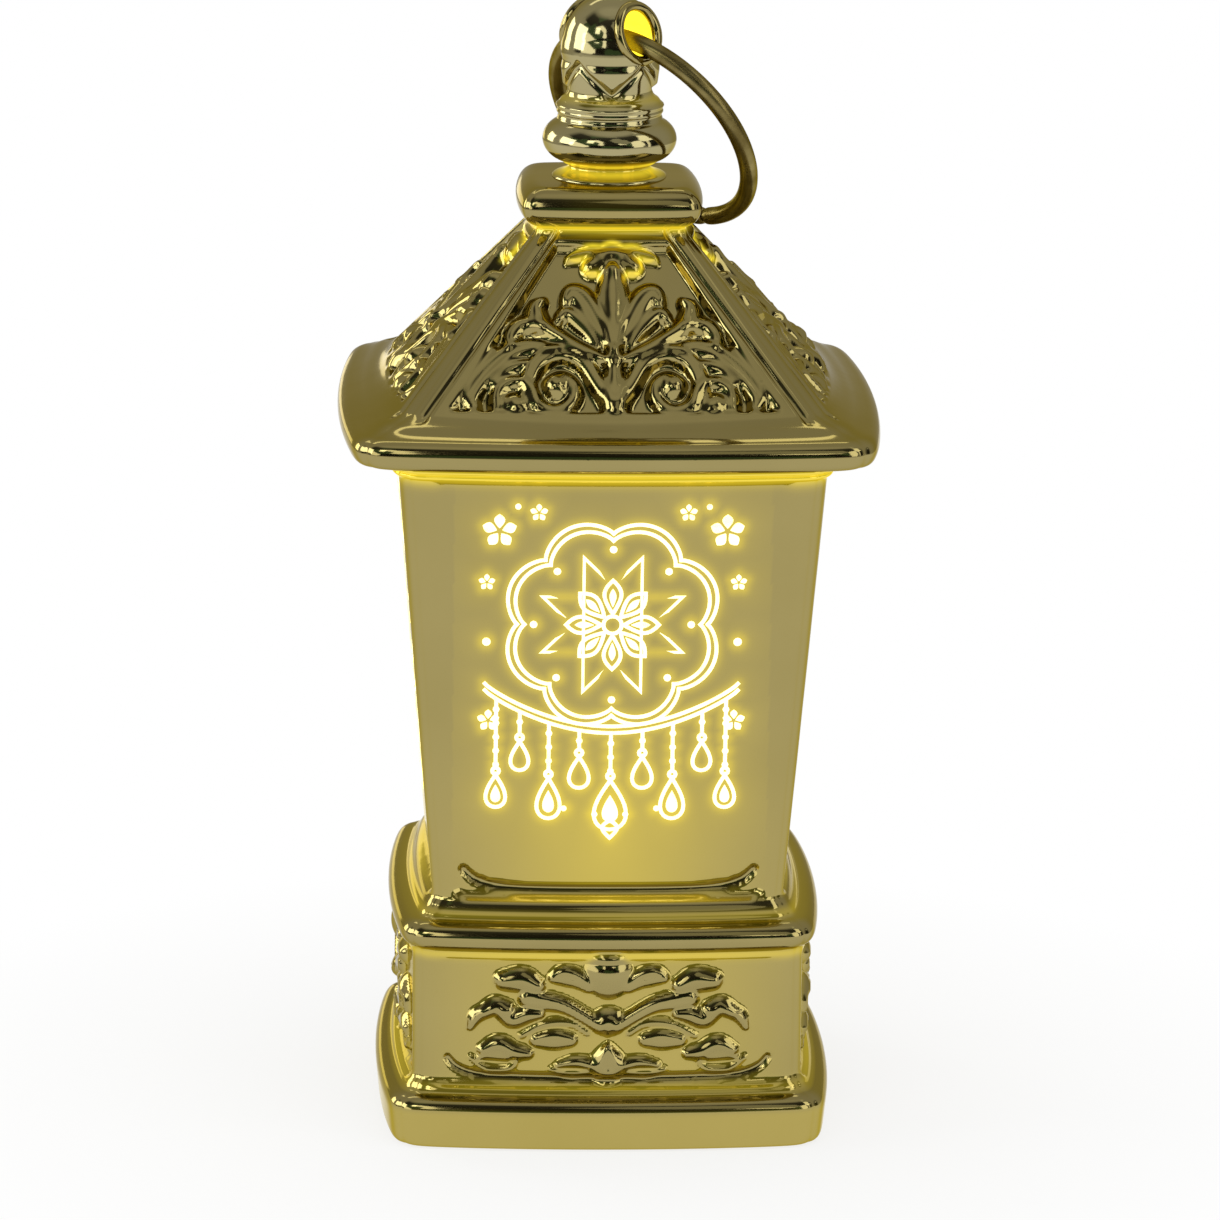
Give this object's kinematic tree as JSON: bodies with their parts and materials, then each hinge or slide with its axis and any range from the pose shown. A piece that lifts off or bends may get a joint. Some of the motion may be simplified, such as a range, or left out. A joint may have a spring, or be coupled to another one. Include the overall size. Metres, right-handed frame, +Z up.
{
  "type": "decorative led lantern",
  "caption": "Square tower lantern in plated ceramic with hipped roof, hanging ring, glowing engraved sides and a pull-out battery lamp.",
  "frame": {"origin": "middle of the square foot, on the surface that the lantern stands on", "axes": "+Z up, -Y towards the front, +X to the right of someone who faces the front"},
  "size_m": [0.09, 0.09, 0.1882],
  "materials": {
    "plated_ceramic": "pale gold mirror plating over ceramic",
    "bronze_wire": "darkened, worn bright",
    "white_plastic": "moulded",
    "black_plastic": "moulded",
    "frosted_plastic": "frosted",
    "steel": "zinc plated",
    "nickel": "bright",
    "board": "solder mask",
    "rubber": "matt",
    "led_lens": "clear, lit",
    "resistor_body": "lacquered",
    "red_sleeve": "extruded sleeve",
    "black_sleeve": "extruded sleeve"
  },
  "bodies": {
    "shell": {"ceramic_shell": "plated_ceramic"},
    "ring": {"hanging_ring": "bronze_wire"},
    "lamp_unit": {"lamp_base": "white_plastic", "lamp_cover": "white_plastic", "seal_ring": "rubber", "cover_screw_1": "steel", "cover_screw_2": "steel", "cover_screw_3": "steel", "door_pin": "steel", "button_cell_1": "nickel", "button_cell_2": "nickel", "button_cell_3": "nickel", "contact_plate": "nickel", "contact_leaf": "nickel", "switch_housing": "black_plastic", "circuit_board": "board", "board_screw_1": "steel", "board_screw_2": "steel", "led_1": "led_lens", "led_2": "led_lens", "led_3": "led_lens", "led_4": "led_lens", "resistor": "resistor_body", "diffuser": "frosted_plastic", "lead_red": "red_sleeve", "lead_switch": "red_sleeve", "lead_black": "black_sleeve"},
    "door": {"battery_door": "white_plastic", "door_screw": "steel"},
    "switch": {"switch_slider": "black_plastic"}
  },
  "joints": [
    {"name": "ring_swing", "type": "hinge", "parent": "shell", "child": "ring", "pos_m": [0, 0, 0.18108], "axis": [0.7071, -0.7071, 0], "range_deg": [0, 292]},
    {"name": "lamp_pull", "type": "slide", "parent": "shell", "child": "lamp_unit", "axis": [0, 0, -1], "range_m": [0, 0.072]},
    {"name": "door_open", "type": "hinge", "parent": "lamp_unit", "child": "door", "pos_m": [-0.0154, -0.008, 0.0027], "axis": [0, 1, 0], "range_deg": [0, 85]},
    {"name": "switch_slide", "type": "slide", "parent": "lamp_unit", "child": "switch", "axis": [1, 0, 0], "range_m": [0, 0.002]}
  ]
}
